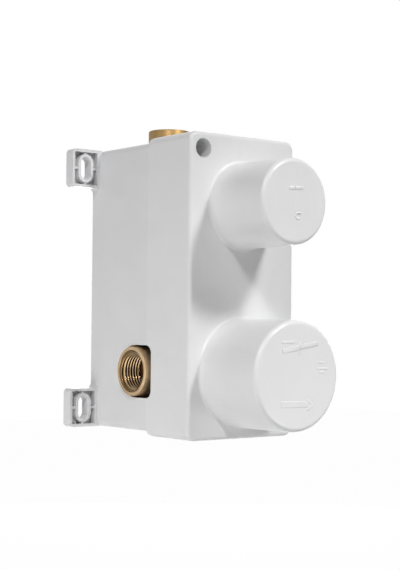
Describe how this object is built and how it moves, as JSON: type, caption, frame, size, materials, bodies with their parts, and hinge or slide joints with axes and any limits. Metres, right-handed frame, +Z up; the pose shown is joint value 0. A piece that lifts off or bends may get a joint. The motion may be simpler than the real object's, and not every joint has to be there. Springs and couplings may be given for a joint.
{
  "type": "concealed bath mixer rough-in",
  "caption": "White rough-in box of a concealed bath mixer: slotted ears, threaded brass connections, and a plaster guard whose caps cover the mixing cartridge and the diverter.",
  "frame": {"origin": "middle of the housing's back, on the wall plane", "axes": "+X to the right as seen from the room, +Y into the wall, +Z up"},
  "size_m": [0.1086, 0.1365, 0.1723],
  "materials": {
    "white_abs": "glossy moulded",
    "brass": "turned",
    "cast_brass": "as cast",
    "seal": "matte",
    "steel": "zinc plated",
    "spring_steel": "spring steel",
    "ceramic_disc": "lapped",
    "dark_plastic": "moulded"
  },
  "bodies": {
    "base": {"rear_housing": "white_abs", "body_screws": "steel", "mixer_body": "cast_brass", "hot_inlet_socket": "brass", "cold_inlet_socket": "brass", "shower_outlet_socket": "brass", "bath_outlet_socket": "brass", "socket_seals": "seal", "cartridge_base": "dark_plastic", "port_seals": "seal", "fixed_disc": "ceramic_disc", "cartridge_shell": "dark_plastic", "cartridge_nut": "brass", "diverter_headwork": "brass", "headwork_seal": "seal", "diverter_seat_seal": "seal", "diverter_fixed_disc": "ceramic_disc"},
    "cover": {"front_cover": "white_abs", "cover_screws": "steel"},
    "turret": {"mixer_turret": "dark_plastic", "turret_seal": "seal", "lever_pin": "steel"},
    "lever": {"mixer_stem": "brass"},
    "disc": {"moving_disc": "ceramic_disc", "disc_carrier": "dark_plastic"},
    "diverter": {"diverter_spindle": "brass", "diverter_moving_disc": "ceramic_disc", "spindle_seals": "seal", "spindle_clip": "spring_steel"}
  },
  "joints": [
    {"name": "cover_pull", "type": "slide", "parent": "base", "child": "cover", "axis": [0, -1, 0], "range_m": [0, 0.08]},
    {"name": "mixer_turn", "type": "hinge", "parent": "base", "child": "turret", "pos_m": [0, -0.0921, -0.0463], "axis": [0, 1, 0], "range_deg": [-50, 50]},
    {"name": "mixer_lift", "type": "hinge", "parent": "turret", "child": "lever", "pos_m": [0, -0.0921, -0.0463], "axis": [-1, 0, 0], "range_deg": [0, 25]},
    {"name": "disc_slide", "type": "slide", "parent": "turret", "child": "disc", "axis": [0, 0, -1], "range_m": [0, 0.00373]},
    {"name": "diverter_turn", "type": "hinge", "parent": "base", "child": "diverter", "pos_m": [0, -0.06, 0.0434], "axis": [0, 1, 0], "range_deg": [0, 90]}
  ],
  "couplings": [
    {"joint": "disc_slide", "follows": "mixer_lift", "m_per_rad": 0.008532}
  ]
}
